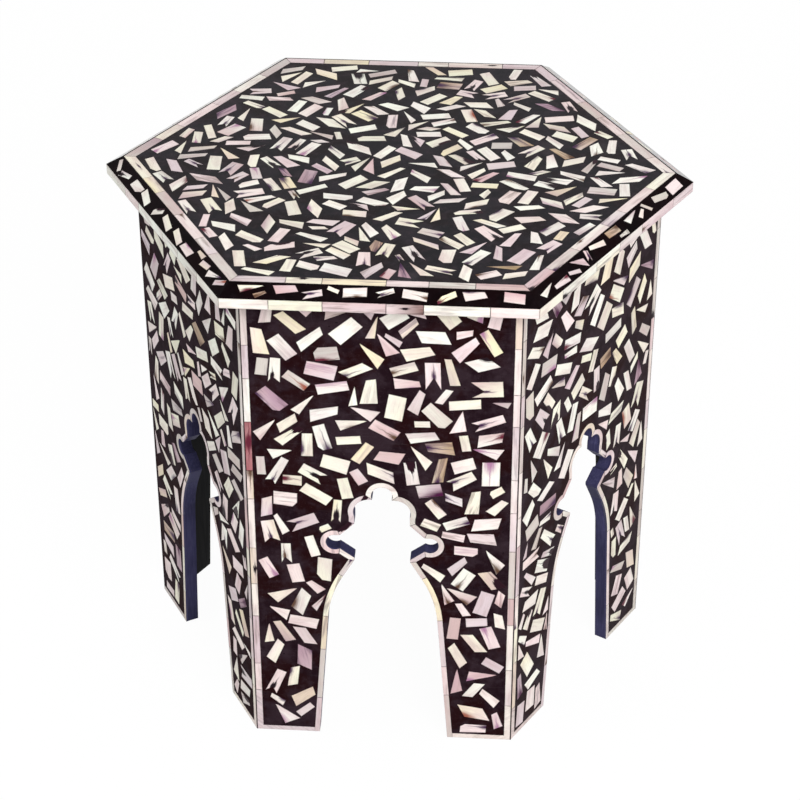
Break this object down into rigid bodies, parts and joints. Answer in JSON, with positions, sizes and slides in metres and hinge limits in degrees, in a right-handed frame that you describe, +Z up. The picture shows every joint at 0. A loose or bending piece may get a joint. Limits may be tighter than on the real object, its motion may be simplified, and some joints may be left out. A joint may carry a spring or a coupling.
{
  "type": "hexagonal side table",
  "caption": "Hexagonal side table on solid panel sides, each cut by a lobed keyhole arch, faced in dark resin set with random bone chips and edged in bone strip.",
  "frame": {"origin": "on the floor, under the middle of the table", "axes": "+Z up; the front side faces -Y, and two corners lie on the X axis"},
  "size_m": [0.5, 0.433, 0.465],
  "materials": {
    "painted_board": "fibreboard, painted near-black inside and dark navy on the sawn arch edges",
    "top_resin": "charcoal filling resin, sanded and polished",
    "bevel_resin": "near-black filling resin, polished",
    "side_resin": "very dark brown-purple filling resin, polished",
    "bone_strip": "cream to pink bone strip, polished",
    "bone_chip": "ivory, pale yellow and mauve-stained bone chips, polished",
    "raw_wood": "plain sawn wood",
    "screw_steel": "zinc-plated"
  },
  "bodies": {
    "root": {"top_board": "painted_board", "top_resin_field": "top_resin", "top_resin_bevel": "bevel_resin", "top_border_strips": "bone_strip", "top_edge_strips": "bone_strip", "side_board_front": "painted_board", "side_resin_front": "side_resin", "border_strips_front": "bone_strip", "arch_strips_front": "bone_strip", "corner_block_front": "raw_wood", "cleat_front": "raw_wood", "chips_front": "bone_chip", "side_board_front_right": "painted_board", "side_resin_front_right": "side_resin", "border_strips_front_right": "bone_strip", "arch_strips_front_right": "bone_strip", "corner_block_front_right": "raw_wood", "cleat_front_right": "raw_wood", "chips_front_right": "bone_chip", "side_board_back_right": "painted_board", "side_resin_back_right": "side_resin", "border_strips_back_right": "bone_strip", "arch_strips_back_right": "bone_strip", "corner_block_back_right": "raw_wood", "cleat_back_right": "raw_wood", "chips_back_right": "bone_chip", "side_board_back": "painted_board", "side_resin_back": "side_resin", "border_strips_back": "bone_strip", "arch_strips_back": "bone_strip", "corner_block_back": "raw_wood", "cleat_back": "raw_wood", "chips_back": "bone_chip", "side_board_back_left": "painted_board", "side_resin_back_left": "side_resin", "border_strips_back_left": "bone_strip", "arch_strips_back_left": "bone_strip", "corner_block_back_left": "raw_wood", "cleat_back_left": "raw_wood", "chips_back_left": "bone_chip", "side_board_front_left": "painted_board", "side_resin_front_left": "side_resin", "border_strips_front_left": "bone_strip", "arch_strips_front_left": "bone_strip", "corner_block_front_left": "raw_wood", "cleat_front_left": "raw_wood", "chips_front_left": "bone_chip", "chips_top": "bone_chip", "chips_bevel": "bone_chip", "corner_seams": "side_resin", "top_screws": "screw_steel", "cleat_screws": "screw_steel"}
  },
  "joints": []
}
